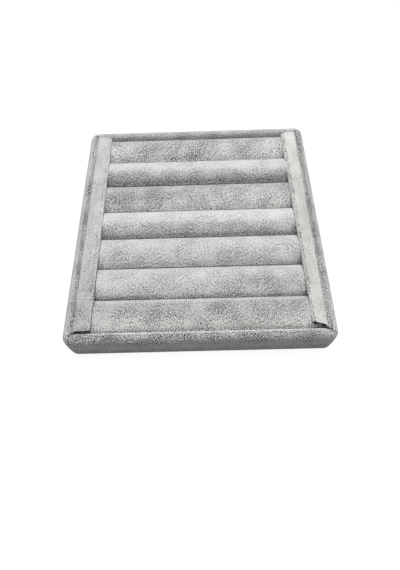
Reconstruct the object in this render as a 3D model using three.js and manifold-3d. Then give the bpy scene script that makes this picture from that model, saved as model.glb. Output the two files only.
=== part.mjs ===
// Ring display tray: a velvet-wrapped frame round seven velvet foam rolls, whose ends two strips hold down.
// Millimetres, +Z up. The origin is on the table under the middle of the tray, the rolls run along X
// and the front edge is at -Y.
import * as THREE from "three";
import { mergeVertices } from "three/addons/utils/BufferGeometryUtils.js";
import Module from "manifold-3d";

// Overall sizes
const trayWidth = 180;
const trayDepth = 190;
const rimHeight = 23; // top of the rim above the table
const rimWidth = 7.7; // outer face to inner face, velvet on both
const cornerRadius = 7; // outer corner in plan

// Sheets and boards
const velvetThickness = 0.9; // backing and pile
const boardThickness = 3;
const linerEdge = 0.6; // liner where it laps the velvet hem
const linerInset = 3; // liner edge behind the tray's outer face
const hemReach = 12; // velvet turned under the base, from the tray's outer face
const bendRadius = 0.5; // inside of a fold of velvet round an edge
const seatGap = 0.2; // glue line between two pieces
const mitreGap = 0.3; // glue line between two rails at a corner

// Relief cuts in the rim velvet at the inner corners
const reliefLength = 3.6;
const reliefWidth = 0.5;
const reliefDepth = 9;

// Rolls
const rollCount = 7;
const rollGap = 0.4; // slit between two rolls, low down where they meet
const rollRise = 1.4; // crest of a roll above the rim
const crownHeight = 9.5; // height of the rounded part of a roll
const crownPower = 2.4; // 2 is an ellipse, more is boxier
const endDroop = 0.8; // crest drawn down beside a strip
const droopLength = 14; // stretch over which the crest comes down
const rollHemGap = 6; // bare foam between the two hems under a roll
const stepLength = 0.3; // short drop from the drooped crest to the part pressed under a strip

// Strips
const stripWidth = 11.6; // at the back end
const stripThickness = 4.5;
const stripRise = 2.2; // top of a strip above the rim
const stripSlant = 0.8; // the inner side leans, so the top is this much narrower
const cardEdgeRadius = 0.5; // rounded edges of the card in a strip
const stripHemGap = 3; // bare card between the two hems under a strip
const stripBackGap = 0.8; // strip end to the back of the well
const leftFrontGap = 0.5; // strip end to the front of the well, at its outer edge
const leftFrontSkew = 0.8; // the same end is cut back this much more at its inner edge
const rightFrontGap = 0.7;
const rightFrontSkew = 2.2;
const leftTaper = 0; // how far the inner edge comes towards the rim from back to front
const rightTaper = 2.3;
const cardInset = 2.5; // card end inside the end of its wrap

// Roundness
const cornerSteps = 5;
const arcSteps = 8;
const bendSteps = 2;
const crownSteps = 6;
const leastRadius = 0.4; // inner corners that are all but sharp
const cutMargin = 5; // how far a cutting block reaches past what it cuts

// Levels and places that follow from the sizes
const skin = velvetThickness + seatGap; // from a velvet face to what it covers
const hemBottom = linerEdge + seatGap;
const boardBottom = hemBottom + skin;
const floorLevel = boardBottom + boardThickness;
const foldRadius = velvetThickness + bendRadius;
const rimRadius = rimWidth / 2;
const wellWidth = trayWidth - 2 * rimWidth;
const wellDepth = trayDepth - 2 * rimWidth;
const rollPitch = wellDepth / rollCount;
const rollHalf = (rollPitch - rollGap) / 2;
const rollBottom = floorLevel + seatGap;
const rollCrest = rimHeight + rollRise;
const rollEnd = wellWidth / 2 - seatGap;
const stripTop = rimHeight + stripRise;
const stripBottom = stripTop - stripThickness;
const stripOuter = wellWidth / 2 - seatGap;
const stripInner = stripOuter - stripWidth;

const velvet = { color: 0xb9b9b7, roughness: 1, metalness: 0 };
const paleVelvet = { color: 0xcbcac7, roughness: 1, metalness: 0 };
const foam = { color: 0xe8e2cf, roughness: 0.95, metalness: 0 };
const fibreboard = { color: 0xa98a63, roughness: 0.85, metalness: 0 };
const greyCard = { color: 0x8c8a85, roughness: 0.9, metalness: 0 };
const liningFelt = { color: 0x3c3d40, roughness: 1, metalness: 0 };

const wasm = await Module();
wasm.setup();

// A closed geometry as a solid that can be joined and cut.
function solidOf(geometry) {
  const bare = geometry.clone();
  bare.deleteAttribute("normal");
  bare.deleteAttribute("uv");
  const merged = mergeVertices(bare, 1e-4);
  const triVerts = new Uint32Array(merged.index.array);
  const vertProperties = new Float32Array(merged.attributes.position.array);
  return new wasm.Manifold(new wasm.Mesh({ numProp: 3, vertProperties, triVerts }));
}

// A joined or cut solid as a geometry again.
function geometryOf(solid) {
  const { vertProperties, triVerts } = solid.getMesh();
  return geometryFrom(vertProperties, triVerts);
}

function geometryFrom(positions, index) {
  const geometry = new THREE.BufferGeometry();
  geometry.setAttribute("position", new THREE.Float32BufferAttribute(positions, 3));
  geometry.setIndex(Array.from(index));
  geometry.computeVertexNormals();
  return geometry;
}

// Turns all faces round when they point inwards, told by the sign of the enclosed volume.
function facingOut(positions, index) {
  const corner = (i) => new THREE.Vector3().fromArray(positions, 3 * i);
  let volume = 0;
  for (let i = 0; i < index.length; i += 3) {
    const [a, b, c] = [corner(index[i]), corner(index[i + 1]), corner(index[i + 2])];
    volume += a.dot(b.cross(c));
  }
  return geometryFrom(positions, volume < 0 ? index.slice().reverse() : index);
}

// Points on an arc about a centre, from one angle to another in degrees.
function arc(centre, radius, from, to, steps) {
  return Array.from({ length: steps + 1 }, (_, i) => {
    const angle = THREE.MathUtils.degToRad(from + ((to - from) * i) / steps);
    return [centre[0] + radius * Math.cos(angle), centre[1] + radius * Math.sin(angle)];
  });
}

// The tray's plan outline, drawn in by an inset from the outer face.
function planOutline(inset) {
  const radius = Math.max(cornerRadius - inset, leastRadius);
  const x = trayWidth / 2 - inset - radius;
  const y = trayDepth / 2 - inset - radius;
  return [
    ...arc([x, y], radius, 0, 90, cornerSteps),
    ...arc([-x, y], radius, 90, 180, cornerSteps),
    ...arc([-x, -y], radius, 180, 270, cornerSteps),
    ...arc([x, -y], radius, 270, 360, cornerSteps),
  ];
}

// A closed profile of [inset, z] points carried once round the tray.
function aroundTray(profile) {
  const rings = profile.map(([inset, z]) => planOutline(inset).map(([x, y]) => [x, y, z]));
  const count = rings[0].length;
  const index = [];
  for (let i = 0; i < rings.length; i++) {
    const next = (i + 1) % rings.length;
    for (let j = 0; j < count; j++) {
      const [a, b] = [i * count + j, i * count + ((j + 1) % count)];
      const [c, d] = [next * count + j, next * count + ((j + 1) % count)];
      index.push(a, b, d, a, d, c);
    }
  }
  return facingOut(rings.flat(2), index);
}

// Equal rings of points skinned in order, with the two ends capped by the flat contour of the section.
function loft(rings, contour) {
  const count = contour.length;
  const index = [];
  for (let i = 0; i + 1 < rings.length; i++) {
    for (let j = 0; j < count; j++) {
      const [a, b] = [i * count + j, i * count + ((j + 1) % count)];
      index.push(a, b, b + count, a, b + count, a + count);
    }
  }
  const flat = contour.map(([u, v]) => new THREE.Vector2(u, v));
  const last = (rings.length - 1) * count;
  for (const [a, b, c] of THREE.ShapeUtils.triangulateShape(flat, [])) {
    index.push(c, b, a, last + a, last + b, last + c);
  }
  return facingOut(rings.flat(2), index);
}

// A flat plate with the tray's plan outline.
function plate(inset, bottom, top) {
  const shape = new THREE.Shape(planOutline(inset).map(([x, y]) => new THREE.Vector2(x, y)));
  const geometry = new THREE.ExtrudeGeometry(shape, { depth: top - bottom, bevelEnabled: false });
  return geometry.translate(0, 0, bottom);
}

const tray = new THREE.Group();

function addPiece(name, geometry, look) {
  const mesh = new THREE.Mesh(geometry, new THREE.MeshStandardMaterial(look));
  mesh.name = name;
  tray.add(mesh);
}

// Underside liner, thin over the hem and full between the hems
function undersideLiner() {
  const lap = solidOf(plate(linerInset, 0, linerEdge));
  const middle = solidOf(plate(hemReach + seatGap, 0, boardBottom - seatGap));
  return geometryOf(lap.add(middle));
}
addPiece("underside_liner", undersideLiner(), liningFelt);

// Base board
addPiece("base_board", plate(skin, boardBottom, floorLevel), fibreboard);

// Rim rails: a round-topped frame on the base board, parted by mitres at the corners
function railFrame() {
  const radius = rimRadius - skin;
  const spring = rimHeight - rimRadius;
  const top = arc([rimRadius, spring], radius, 180, 0, arcSteps);
  const bottom = floorLevel + seatGap;
  return solidOf(aroundTray([[skin, bottom], ...top, [rimWidth - skin, bottom]]));
}

function addRails() {
  const frame = railFrame();
  const back = hemReach + cutMargin;
  const outX = trayWidth / 2 + cutMargin;
  const outY = trayDepth / 2 + cutMargin;
  const inX = trayWidth / 2 - back;
  const inY = trayDepth / 2 - back;
  const half = mitreGap * Math.SQRT1_2; // each rail stands back from the mitre along its own length
  const wedges = {
    front_rail: [[half - outX, -outY], [outX - half, -outY], [inX - half, -inY], [half - inX, -inY]],
    back_rail: [[outX - half, outY], [half - outX, outY], [half - inX, inY], [inX - half, inY]],
    left_rail: [[-outX, outY - half], [-outX, half - outY], [-inX, half - inY], [-inX, inY - half]],
    right_rail: [[outX, half - outY], [outX, outY - half], [inX, inY - half], [inX, half - inY]],
  };
  for (const [name, corners] of Object.entries(wedges)) {
    const shape = new THREE.Shape(corners.map(([x, y]) => new THREE.Vector2(x, y)));
    const block = new THREE.ExtrudeGeometry(shape, { depth: rimHeight, bevelEnabled: false });
    addPiece(name, geometryOf(frame.intersect(solidOf(block))), fibreboard);
  }
}
addRails();

// Rim velvet: up the outside, over the rim, down into the well, and turned under the base board
function rimVelvet() {
  const face = (depth) => {
    const spring = rimHeight - rimRadius;
    const fold = [foldRadius, hemBottom + foldRadius];
    return [
      [hemReach, hemBottom + depth],
      ...arc(fold, foldRadius - depth, 270, 180, bendSteps),
      ...arc([rimRadius, spring], rimRadius - depth, 180, 0, arcSteps),
      [rimWidth - depth, floorLevel + seatGap],
    ];
  };
  let cover = solidOf(aroundTray([...face(0), ...face(velvetThickness).reverse()]));
  const cut = new THREE.BoxGeometry(reliefLength + cutMargin, reliefWidth, reliefDepth + cutMargin);
  const reach = (reliefLength - cutMargin) / 2;
  for (const [sx, sy] of [[1, 1], [-1, 1], [-1, -1], [1, -1]]) {
    const place = new THREE.Object3D();
    const away = Math.atan2(sy, sx);
    place.rotation.z = away;
    place.position.set(
      (sx * wellWidth) / 2 + reach * Math.cos(away),
      (sy * wellDepth) / 2 + reach * Math.sin(away),
      rimHeight + (cutMargin - reliefDepth) / 2,
    );
    place.updateMatrix();
    cover = cover.subtract(solidOf(cut.clone().applyMatrix4(place.matrix)));
  }
  return geometryOf(cover);
}
addPiece("rim_velvet", rimVelvet(), velvet);

// Place of a strip's inner edge at a place along its length.
function stripEdge(taper, y) {
  return stripInner + taper * (0.5 - y / wellDepth);
}

// Rolls: a crowned section whose crest sinks beside the strips and is pressed flatter under them

// The section of a roll at a depth under its velvet face, from one hem to the other, as [y, z] points.
function rollOutline(depth, crest) {
  const half = rollHalf - depth;
  const bottom = rollBottom + depth;
  const fold = foldRadius - Math.min(depth, velvetThickness);
  const shoulder = crest - crownHeight;
  const side = [[rollHemGap / 2, bottom], ...arc([half - fold, bottom + fold], fold, 270, 360, bendSteps)];
  for (let i = 0; i <= crownSteps; i++) {
    const angle = ((Math.PI / 2) * i) / crownSteps;
    const y = half * Math.cos(angle) ** (2 / crownPower);
    const z = (crownHeight - depth) * Math.sin(angle) ** (2 / crownPower);
    side.push([i < crownSteps ? y : 0, shoulder + z]);
  }
  const mirrored = side.slice(0, -1).reverse();
  return [...side, ...mirrored.map(([y, z]) => [-y, z])];
}

// Stations along one half of a roll, as [distance from the middle, crest height], up to and under a strip
// whose inner edge is at the given distance.
function rollStations(edge) {
  const beside = edge - stepLength;
  const shares = [0, 0.6, 1];
  const drooped = shares.map((share) => {
    const x = beside - droopLength * (1 - share);
    return [x, rollCrest - endDroop * share ** 2];
  });
  const pressed = stripBottom - seatGap;
  return [...drooped, [edge, pressed], [rollEnd, pressed]];
}

// A roll in its place, with each end fitted to its strip where the strip reaches furthest over the roll.
function rollGeometry(sectionAt, middle) {
  const left = rollStations(stripEdge(leftTaper, middle + rollHalf));
  const right = rollStations(stripEdge(rightTaper, middle + rollHalf));
  const stations = [...left.map(([x, crest]) => [-x, crest]).reverse(), ...right];
  const rings = stations.map(([x, crest]) => sectionAt(crest).map(([y, z]) => [x, middle + y, z]));
  return loft(rings, sectionAt(right.at(-1)[1]));
}

const rollVelvetSection = (crest) => [
  ...rollOutline(0, crest),
  ...rollOutline(velvetThickness, crest).reverse(),
];
const rollFoamSection = (crest) => rollOutline(skin, crest);

for (let i = 1; i <= rollCount; i++) {
  const y = wellDepth / 2 - (i - 0.5) * rollPitch; // roll 1 is at the back
  addPiece(`roll_velvet_${i}`, rollGeometry(rollVelvetSection, y), velvet);
  addPiece(`roll_foam_${i}`, rollGeometry(rollFoamSection, y), foam);
}

// Strips: a card in a velvet wrap that is open at its ends and joined underneath

// The section of a strip at a depth under its velvet face, from one hem to the other, as [u, z] points,
// where u is measured from the strip's middle towards the rim.
function stripOutline(depth) {
  const half = stripWidth / 2;
  const edge = skin + cardEdgeRadius;
  const radius = edge - depth;
  const [low, high] = [stripBottom + edge, stripTop - edge];
  const lean = THREE.MathUtils.radToDeg(Math.atan2(stripSlant, high - low));
  return [
    [stripHemGap / 2, stripBottom + depth],
    ...arc([half - edge, low], radius, 270, 360, bendSteps),
    ...arc([half - edge, high], radius, 0, 90, bendSteps),
    ...arc([edge - half + stripSlant, high], radius, 90, 180 - lean, bendSteps),
    ...arc([edge - half, low], radius, 180 - lean, 270, bendSteps),
    [-stripHemGap / 2, stripBottom + depth],
  ];
}

// A strip's section carried from the back of the well to its slanted front end, narrowing by its taper.
function stripGeometry(section, side, frontGap, frontSkew, taper, inset) {
  const back = wellDepth / 2 - stripBackGap - inset;
  const innerShare = (u) => (stripWidth / 2 - u) / stripWidth; // 0 at the outer edge, 1 at the inner edge
  const frontAt = (u) => frontGap + frontSkew * innerShare(u) + inset - wellDepth / 2;
  const ringAt = (yAt) => section.map(([u, z]) => {
    const x = stripOuter + (stripEdge(taper, yAt(u)) - stripOuter) * innerShare(u);
    return [side * x, yAt(u), z];
  });
  return loft([ringAt(frontAt), ringAt(() => back)], section);
}

const stripVelvetSection = [...stripOutline(0), ...stripOutline(velvetThickness).reverse()];
const stripCardSection = stripOutline(skin);

for (const [name, side, frontGap, frontSkew, taper] of [
  ["left", -1, leftFrontGap, leftFrontSkew, leftTaper],
  ["right", 1, rightFrontGap, rightFrontSkew, rightTaper],
]) {
  const wrap = stripGeometry(stripVelvetSection, side, frontGap, frontSkew, taper, 0);
  const card = stripGeometry(stripCardSection, side, frontGap, frontSkew, taper, cardInset);
  addPiece(`${name}_strip_velvet`, wrap, paleVelvet);
  addPiece(`${name}_strip_card`, card, greyCard);
}

export default tray;
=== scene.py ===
import math
import bpy
import numpy as np
from mathutils import Matrix, Vector


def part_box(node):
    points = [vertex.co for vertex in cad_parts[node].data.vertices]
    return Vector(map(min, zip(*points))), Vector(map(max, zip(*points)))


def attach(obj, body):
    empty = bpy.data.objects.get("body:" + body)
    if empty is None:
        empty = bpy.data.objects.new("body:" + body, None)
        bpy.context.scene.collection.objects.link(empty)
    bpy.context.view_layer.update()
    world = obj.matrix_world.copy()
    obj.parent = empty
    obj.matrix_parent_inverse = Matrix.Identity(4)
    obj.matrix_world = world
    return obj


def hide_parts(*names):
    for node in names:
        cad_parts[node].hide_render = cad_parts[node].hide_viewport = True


# Ring display tray: seven velvet foam rolls in a velvet-wrapped rim, two velvet strips over the roll ends.
# The frame is in metres. Sizes below are in millimetres and turn to metres where a mesh is filled.
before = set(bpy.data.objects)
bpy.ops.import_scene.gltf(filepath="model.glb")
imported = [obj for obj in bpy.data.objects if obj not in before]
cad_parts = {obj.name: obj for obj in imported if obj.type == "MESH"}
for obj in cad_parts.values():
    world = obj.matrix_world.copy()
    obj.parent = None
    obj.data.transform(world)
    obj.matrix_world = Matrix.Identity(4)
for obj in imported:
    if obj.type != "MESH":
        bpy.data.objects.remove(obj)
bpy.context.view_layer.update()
mm = 0.001
print("frame loaded,", len(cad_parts), "nodes")


def boxMm(node):
    return [np.array(corner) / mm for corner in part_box(node)]  # lowest and highest corner


# Small tools for surfaces

def ease(t):
    t = np.clip(t, 0, 1)
    return t * t * (3 - 2 * t)


def fade(value, start, full):
    # 0 before start, 1 past full, eased between; full may lie below start
    return ease((value - start) / (full - start))


def rumple(x, y, seed):
    # random heights on whole-number points, eased between them, from -1 to 1
    points = 128  # the pattern comes again after these
    heights = np.random.default_rng(seed).uniform(-1, 1, (points, points))
    column, row = np.floor(x).astype(int), np.floor(y).astype(int)
    a, b = ease(x - column), ease(y - row)

    def height(i, j):
        return heights[(column + i) % points, (row + j) % points]

    near = height(0, 0) * (1 - a) + height(1, 0) * a
    far = height(0, 1) * (1 - a) + height(1, 1) * a
    return near * (1 - b) + far * b


def wave(along, lengthMm, seed):
    # rise and fall in one direction: a rumple read half way between two of its rows
    return rumple(along / lengthMm, 0 * along + 0.5, seed)


# Tufts of the pile, as relief
nap = {
    "lengthMm": 2.6,
    "widthMm": 1.3,
    "turnsDeg": (48, -42, 84),  # the ways that tufts lie
    "patchMm": 24,  # slow patches choose between the ways
    "patchEdge": 2.5,  # how sharply they meet
}


def napRelief(u, v, seed):
    # one stretched rumple for each way of lying, mixed by two patterns of patches
    lying = []
    for k, turn in enumerate(nap["turnsDeg"]):
        c, s = math.cos(math.radians(turn)), math.sin(math.radians(turn))
        along, across = (u * c + v * s) / nap["lengthMm"], (v * c - u * s) / nap["widthMm"]
        lying.append(rumple(along, across, seed + k))
    patches = [nap["patchEdge"] * rumple(u / nap["patchMm"], v / nap["patchMm"], seed + k) for k in (7, 8)]
    first, third = ease(patches[0] + 0.5), ease(patches[1])
    return (lying[0] * first + lying[1] * (1 - first)) * (1 - third) + lying[2] * third


def distances(points):
    # how far each point lies along its line
    return np.concatenate([[0], np.cumsum(np.linalg.norm(np.diff(points, axis=0), axis=1))])


def resample(points, spacing):
    # the same line with points at even distances along it, and these distances
    run = distances(points)
    even = np.linspace(0, run[-1], int(round(run[-1] / spacing)) + 1)
    return np.stack([np.interp(even, run, axis) for axis in points.T], 1), even


def carryOn(run, count, spacing):
    # distances round a section for its pile map, carried on over an inner face with wider spacing;
    # one more than the section has points, because the last point meets the first
    return np.concatenate([run, run[-1] + np.arange(1, count - len(run) + 2) * spacing])


def rightNormals(points):
    # unit normals to the right of each line's direction, from the points before and after
    step = np.gradient(points, axis=-2)
    normal = np.stack([step[..., 1], -step[..., 0]], -1)
    return normal / np.linalg.norm(normal, axis=-1)[..., None]


def refine(values, at):
    # a smooth cubic through the rows of a table, read at places between them
    last = len(values) - 1
    k = np.floor(at).astype(int).clip(0, last - 1)
    t = (at - k).reshape((-1,) + (1,) * (values.ndim - 1))
    a, b, c, d = (values[(k + step).clip(0, last)] for step in (-1, 0, 1, 2))
    return b + 0.5 * t * (c - a + t * (2 * a - 5 * b + 4 * c - d + t * (3 * (b - c) + d - a)))


def arcPoints(centre, radius, start, end, steps=24):
    # points on an arc, from one angle to another in degrees
    a = np.radians(np.linspace(start, end, steps + 1))
    return np.array(centre) + np.array(radius) * np.stack([np.cos(a), np.sin(a)], 1)


def gridCorners(along, around, ring):
    # the four corners of each face of a tube's grid, as two arrays of places along and around it
    i, j = np.meshgrid(np.arange(along if ring else along - 1), np.arange(around), indexing="ij")
    i, j = i.ravel(), j.ravel()
    return [(i, j), (i, j + 1), (i + 1, j + 1), (i + 1, j)]


def gridMesh(name, places, ring=False):
    # a tube from a grid of places (along, around, xyz), closed around, and along it either a ring or capped
    along, around = places.shape[:2]
    corners = gridCorners(along, around, ring)
    faces = np.stack([(i % along) * around + j % around for i, j in corners], 1).tolist()
    if not ring:
        cap = np.arange(around)
        faces += [cap[::-1].tolist(), (cap + (along - 1) * around).tolist()]
    mesh = bpy.data.meshes.new(name)
    mesh.from_pydata((places.reshape(-1, 3) * mm).tolist(), [], faces)
    return mesh


def addPiece(mesh, material, node):
    # a finished piece on the one body of the tray, in place of a node of the frame
    mesh.shade_smooth()
    mesh.materials.append(material)
    piece = bpy.data.objects.new(mesh.name, mesh)
    bpy.context.scene.collection.objects.link(piece)
    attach(piece, "root")
    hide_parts(node)
    return piece


def velvetMesh(name, places, uAlong, vAcross, paint, inside=(0.5, 0.0), ring=False, flip=False):
    # a tube with its pile map in millimetres, and its lay and parted values, which also carry painted
    # highlights and
    # painted shade: painted on the outer face, whose points come first around it, and plain inside; flip is
    # for sections that run the other way round
    # uAlong and vAcross hold one more value than a closed direction has points, so no pattern runs back there
    along, around = places.shape[:2]
    painted = np.empty((2, along, around), np.float32)
    for values, outer, inner in zip(painted, paint, inside):
        values[:, :outer.shape[1]] = outer
        values[:, outer.shape[1]:] = inner
    if flip:
        places, vAcross, painted = places[:, ::-1], vAcross[::-1], painted[..., ::-1]
    mesh = gridMesh(name, places, ring)
    corners = gridCorners(along, around, ring)
    maps = np.stack([np.stack([uAlong[i], vAcross[j]], 1) for i, j in corners], 1)
    if not ring:
        ends = [np.stack([uAlong[k] + 0 * vAcross[:-1], vAcross[:-1]], 1) for k in (0, -1)]
        maps = np.concatenate([maps.reshape(-1, 2), ends[0][::-1], ends[1]])
    mesh.uv_layers.new(name="pile").data.foreach_set("uv", maps.ravel().astype(np.float32))
    for attribute, values in zip(("layAndPaintedLight", "parted"), painted):
        mesh.attributes.new(attribute, "FLOAT", "POINT").data.foreach_set("value", values.ravel())
    return mesh


# Materials

def linear(hexColour):
    # sRGB hex to linear red, green, blue and alpha
    parts = [int(hexColour[k:k + 2], 16) / 255 for k in (1, 3, 5)]
    return [p / 12.92 if p <= 0.04045 else ((p + 0.055) / 1.055) ** 2.4 for p in parts] + [1]


def addNode(tree, kind, settings=None, links=None):
    # settings are the node's properties, or inputs by name or number; links come from nodes or their outputs
    node = tree.nodes.new("ShaderNode" + kind)
    for key, value in (settings or {}).items():
        if isinstance(key, str) and hasattr(node, key):
            setattr(node, key, value)
        else:
            node.inputs[key].default_value = value
    for key, source in (links or {}).items():
        if isinstance(source, bpy.types.Node):
            source = next(out for out in source.outputs if out.enabled)
        tree.links.new(source, node.inputs[key])
    return node


def newMaterial(name):
    made = bpy.data.materials.new(name)
    made.use_nodes = True
    made.node_tree.nodes.clear()
    return made, made.node_tree


def finishMaterial(tree, settings, links):
    shader = addNode(tree, "BsdfPrincipled", settings, links)
    addNode(tree, "OutputMaterial", links={"Surface": shader})


# Short-pile polyester velvet, woven, dyed light grey and crushed in washing: no gloss, a pale bloom at
# grazing angles, and dark strokes where the tufts part and the eye sees down to the backing
velvet = {
    "paleHex": "#DCDCDB",  # tufts that lean to the light
    "evenHex": "#BFC0C3",
    "deepHex": "#888A8B",  # tufts that lean away
    "partingHex": "#303134",  # down between the tufts
    "tipHex": "#FAF7F4",  # single bright tips
    "bloomHex": "#F4F2EE",
    "strokeLengthMm": 1.45,
    "strokeWidthMm": 0.63,
    "strokeTurnsDeg": nap["turnsDeg"],
    "strokeShare": 1.0,
    "turnPatchMm": 30,  # slow patches choose between the directions of the strokes
    "turnPatchFade": (0.44, 0.56),
    "grainMm": 0.57,  # single tufts are finer, drawn this coarse so that they show
    "grainTurnDeg": 27,  # off the line of the sheet, so that specks don't stand in rows
    "grainShare": 1.0,
    "detail": 1.5,  # of strokes and grain
    "cloudMm": 13,  # wider areas where the pile is unsettled
    "cloudDetail": 2.5,
    "cloudParting": 0.8,  # how much a cloud parts the pile
    "cloudLean": 0.5,  # and how much it turns its lie
    "looseness": 0.32,  # how much sooner loose pile parts
    "partingFade": (0.225, 0.305),
    "partingShare": 0.92,
    "tipFade": (-0.06, -0.18),
    "palestLay": 1.5,  # lie of the palest pile, where 0 is deep, 0.5 even and 1 pale
    "reliefMm": 0.35,
    "bump": 0.8,
    "finish": {"Roughness": 0.95, "IOR": 1.5, "Specular IOR Level": 0.15, "Sheen Weight": 0.25,
               "Sheen Roughness": 0.45},
}


def velvetMaterial(name, partings, tipShare, size=1.0, way=0.0, tint=None):
    # partings is how loose the pile is, tipShare how bright its tips are, size that of strokes and grain, way
    # how far the first direction of strokes leads, and tint holds the colours that differ on one piece
    made, tree = newMaterial(name)
    colours = {**velvet, **(tint or {})}
    times, timesPlus = {"operation": "MULTIPLY"}, {"operation": "MULTIPLY_ADD"}
    eased, mixed = {"interpolation_type": "SMOOTHSTEP"}, {"data_type": "RGBA"}
    pile = addNode(tree, "UVMap", {"uv_map": "pile"})
    layAndPaintedLight = addNode(tree, "Attribute", {"attribute_name": "layAndPaintedLight"}).outputs["Fac"]
    parted = addNode(tree, "Attribute", {"attribute_name": "parted"}).outputs["Fac"]

    def uneven(sizeMm, detail, shiftMm):
        # an uneven pattern on the pile map, shifted so that no two uses are alike
        turn = (0, 0, math.radians(velvet["grainTurnDeg"]))
        placed = {"Location": (shiftMm, shiftMm, 0), "Rotation": turn}
        place = addNode(tree, "Mapping", placed, {"Vector": pile})
        settings = {"noise_dimensions": "2D", "Scale": 1 / sizeMm, "Detail": detail}
        return addNode(tree, "TexNoise", settings, {"Vector": place})

    # strokes in three directions, each from its own part of the pattern, chosen between by slow patches
    strokes = []
    scale = (1 / (size * velvet["strokeLengthMm"]), 1 / (size * velvet["strokeWidthMm"]), 1)
    for k, turn in enumerate(velvet["strokeTurnsDeg"]):
        turned = addNode(tree, "Mapping", {"Rotation": (0, 0, math.radians(-turn))}, {"Vector": pile})
        placed = {"Location": (37.0 * k, 19.0 * k, 0), "Scale": scale}
        place = addNode(tree, "Mapping", placed, {"Vector": turned})
        settings = {"noise_dimensions": "2D", "Scale": 1, "Detail": velvet["detail"]}
        strokes.append(addNode(tree, "TexNoise", settings, {"Vector": place}))
    chosen = strokes[0]
    start, full = (limit + way for limit in velvet["turnPatchFade"])
    for k, stroke in enumerate(strokes[1:], 1):
        patches = uneven(velvet["turnPatchMm"], detail=1, shiftMm=60.0 * k)
        share = addNode(tree, "MapRange", {"From Min": start, "From Max": full}, {"Value": patches})
        chosen = addNode(tree, "Mix", {"data_type": "FLOAT"}, {0: share, 2: chosen, 3: stroke})

    # strokes and grain together, about zero: well above it the pile is parted, sooner where it is loose or
    # where painted shade is laid in, and below it the tips stand
    grain = uneven(size * velvet["grainMm"], velvet["detail"], shiftMm=5.0)
    shares = velvet["grainShare"], velvet["strokeShare"]
    rough = addNode(tree, "Math", {**timesPlus, 1: shares[0], 2: -0.5 * sum(shares)}, {0: grain})
    rough = addNode(tree, "Math", {**timesPlus, 1: shares[1]}, {0: chosen, 2: rough})
    start, full = velvet["tipFade"]
    tips = addNode(tree, "MapRange", {**eased, "From Min": start, "From Max": full}, {"Value": rough})
    cloud = uneven(velvet["cloudMm"], velvet["cloudDetail"], shiftMm=11.0)
    swing = velvet["cloudParting"]
    loose = addNode(tree, "Math", {**timesPlus, 1: swing, 2: partings - swing / 2}, {0: cloud})
    loose = addNode(tree, "Math", {"operation": "ADD"}, {0: parted, 1: loose})
    loose = addNode(tree, "Math", {"operation": "MAXIMUM", 1: 0}, {0: loose})
    level = addNode(tree, "Math", {**timesPlus, 1: velvet["looseness"]}, {0: loose, 2: rough})
    start, full = velvet["partingFade"]
    dark = addNode(tree, "MapRange", {**eased, "From Min": start, "From Max": full}, {"Value": level})

    # the lie of the pile with its painted highlights and painted shade, unsettled by the clouds, sets the
    # ground colour
    swing, palest = velvet["cloudLean"], velvet["palestLay"]
    leaning = addNode(tree, "Math", {**timesPlus, 1: swing, 2: -swing / 2}, {0: cloud})
    leaning = addNode(tree, "Math", {"operation": "SUBTRACT"}, {0: layAndPaintedLight, 1: leaning})
    leaning = addNode(tree, "Math", {**times, 1: 1 / palest}, {0: leaning})
    ground = addNode(tree, "ValToRGB", links={"Fac": leaning})
    stops = ground.color_ramp.elements
    stops[0].color = linear(colours["deepHex"])
    stops[1].color = linear(colours["tipHex"])
    stops.new(0.5 / palest).color = linear(colours["evenHex"])
    stops.new(1 / palest).color = linear(colours["paleHex"])
    part = addNode(tree, "Math", {**times, 1: velvet["partingShare"]}, {0: dark})
    colour = addNode(tree, "Mix", {**mixed, 7: linear(velvet["partingHex"])}, {0: part, 6: ground})
    part = addNode(tree, "Math", {**times, 1: tipShare}, {0: tips})
    colour = addNode(tree, "Mix", {**mixed, 7: linear(colours["tipHex"])}, {0: part, 6: colour})

    # tips stand high, and the pile is low where it is parted
    height = addNode(tree, "Math", {**timesPlus, 1: -1.0, 2: 0.5}, {0: rough})
    relief = {"Strength": velvet["bump"], "Distance": velvet["reliefMm"] * mm}
    bump = addNode(tree, "Bump", relief, {"Height": height})
    finishMaterial(tree, {**velvet["finish"], "Sheen Tint": linear(velvet["bloomHex"])},
                   {"Base Color": colour, "Normal": bump})
    return made


def finishMottled(tree, look, pattern, height):
    # two colours that fade into each other with a pattern, and its cells or fibres as small relief
    start, full = look["fade"]
    mottle = addNode(tree, "MapRange", {"From Min": start, "From Max": full}, {"Value": pattern})
    colours = {6: linear(look["darkHex"]), 7: linear(look["paleHex"])}
    colour = addNode(tree, "Mix", {"data_type": "RGBA", **colours}, {0: mottle})
    relief = {"Strength": look["bump"], "Distance": look["reliefMm"] * mm}
    bump = addNode(tree, "Bump", relief, {"Height": height})
    finishMaterial(tree, look["finish"], {"Base Color": colour, "Normal": bump})


# Open-cell polyurethane foam, cut from a block: cream, matt, pitted by its cells
foamLook = {
    "cellMm": 0.9,
    "fade": (0, 1),
    "darkHex": "#CFC6A8",
    "paleHex": "#F0EAD8",
    "bump": 0.7,
    "reliefMm": 0.3,
    "finish": {"Roughness": 0.95, "Specular IOR Level": 0.2},
}


def foamMaterial():
    made, tree = newMaterial("openCellFoam")
    place = addNode(tree, "TexCoord").outputs["Object"]
    cells = addNode(tree, "TexVoronoi", {"Scale": 1 / (foamLook["cellMm"] * mm)}, {"Vector": place})
    finishMottled(tree, foamLook, cells, cells)
    return made


# Medium-density fibreboard, sawn: pressed wood fibre, brown with pale and dark specks and a faint mottle
boardLook = {
    "fibreMm": 0.7,
    "mottleMm": 9,
    "mottleShare": 0.5,
    "fade": (0.5, 1.0),  # of fibre and mottle together
    "darkHex": "#8A6A45",
    "paleHex": "#C4A67C",
    "bump": 0.4,
    "reliefMm": 0.1,
    "finish": {"Roughness": 0.85, "Specular IOR Level": 0.3},
}


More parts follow.
